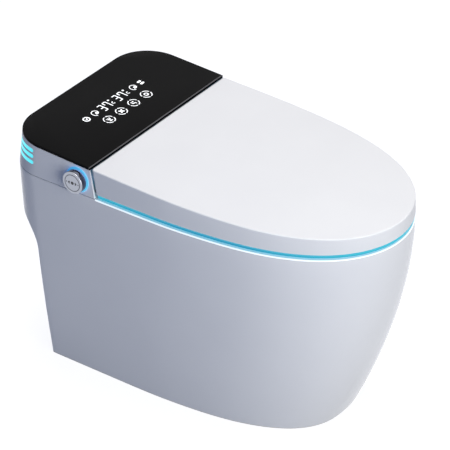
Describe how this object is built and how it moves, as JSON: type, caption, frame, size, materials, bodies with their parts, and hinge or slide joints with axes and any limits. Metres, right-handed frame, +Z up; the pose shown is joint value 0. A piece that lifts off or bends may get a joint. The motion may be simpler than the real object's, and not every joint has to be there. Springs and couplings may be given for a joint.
{
  "type": "smart toilet",
  "caption": "one-piece floor-standing toilet with hinged lid and heated seat, glass control panel, side knob, light bars, spray nozzle and warm air dryer",
  "frame": {"origin": "centre of the drain outlet on the floor", "axes": "+Z up, -Y to the front of the bowl, -X to the seated user's right, the knob's side"},
  "size_m": [0.4098, 0.697, 0.4659],
  "materials": {
    "ceramic": "gloss glaze",
    "white_plastic": "gloss",
    "black_glass": "polished, printed black behind",
    "circuit_board": "lacquered",
    "cyan_light": "diffusing",
    "blue_light": "diffusing",
    "knob_metal": "turned and polished",
    "steel": "brushed",
    "soft_rubber": "matte",
    "grey_plastic": "moulded",
    "motor_metal": "plain",
    "brass": "machined"
  },
  "bodies": {
    "toilet": {"ceramic_pedestal": "ceramic", "rear_cover": "white_plastic", "glass_panel": "black_glass", "display_board": "circuit_board", "side_light_bars": "cyan_light", "knob_halo_ring": "blue_light", "hinge_pins": "steel", "chassis_bolts": "steel", "cover_screws": "steel", "chassis_plate": "grey_plastic", "equipment_tray": "grey_plastic", "hinge_brackets": "grey_plastic", "lid_damper": "grey_plastic", "seat_damper": "grey_plastic", "nozzle_guide": "grey_plastic", "blower_housing": "grey_plastic", "dryer_duct": "grey_plastic", "water_tank": "grey_plastic", "flush_pump": "grey_plastic", "flush_tube": "grey_plastic", "inlet_valve": "grey_plastic", "control_box": "grey_plastic", "carbon_cartridge": "grey_plastic", "cable_gland": "grey_plastic", "knob_encoder": "grey_plastic", "nozzle_motor": "motor_metal", "water_heater": "motor_metal", "inlet_connector": "brass"},
    "seat": {"seat_ring": "white_plastic", "seat_base": "white_plastic", "seat_light_guide": "cyan_light", "seat_bumpers": "soft_rubber"},
    "lid": {"lid_shell": "white_plastic", "lid_bumpers": "soft_rubber"},
    "knob_slider": {"knob_plunger": "grey_plastic"},
    "knob": {"knob_cap": "knob_metal", "knob_stem": "steel"},
    "nozzle": {"nozzle_wand": "grey_plastic", "nozzle_tip": "steel"},
    "pinion": {"nozzle_pinion": "grey_plastic"},
    "flap": {"dryer_flap": "grey_plastic"},
    "impeller": {"blower_impeller": "grey_plastic"}
  },
  "joints": [
    {"name": "seat_hinge", "type": "hinge", "parent": "toilet", "child": "seat", "pos_m": [0, 0.089, 0.444], "axis": [-1, 0, 0], "range_deg": [0, 95]},
    {"name": "lid_hinge", "type": "hinge", "parent": "seat", "child": "lid", "pos_m": [0, 0.089, 0.444], "axis": [1, 0, 0], "range_deg": [-95, 0]},
    {"name": "knob_press", "type": "slide", "parent": "toilet", "child": "knob_slider", "axis": [1, 0, 0], "range_m": [0, 0.002], "stiffness_N_per_m": 1500, "springref_m": -0.001},
    {"name": "knob_turn", "type": "hinge", "parent": "knob_slider", "child": "knob", "pos_m": [-0.2, 0.128, 0.4255], "axis": [1, 0, 0], "range_deg": [-30, 30], "stiffness_Nm_per_rad": 0.1},
    {"name": "nozzle_slide", "type": "slide", "parent": "toilet", "child": "nozzle", "axis": [0, -0.9703, -0.2419], "range_m": [0, 0.08]},
    {"name": "pinion_turn", "type": "hinge", "parent": "toilet", "child": "pinion", "pos_m": [-0.02, 0.05579, 0.41833], "axis": [-1, 0, 0], "range_deg": [0, 655]},
    {"name": "flap_swing", "type": "hinge", "parent": "toilet", "child": "flap", "pos_m": [0.068, 0.03125, 0.4068], "axis": [-1, 0, 0], "range_deg": [0, 55]},
    {"name": "blower_spin", "type": "hinge", "parent": "toilet", "child": "impeller", "pos_m": [0.088, 0.19, 0.42], "axis": [0, 0, 1], "continuous": true}
  ],
  "couplings": [
    {"joint": "pinion_turn", "follows": "nozzle_slide", "rad_per_m": 142.86}
  ]
}
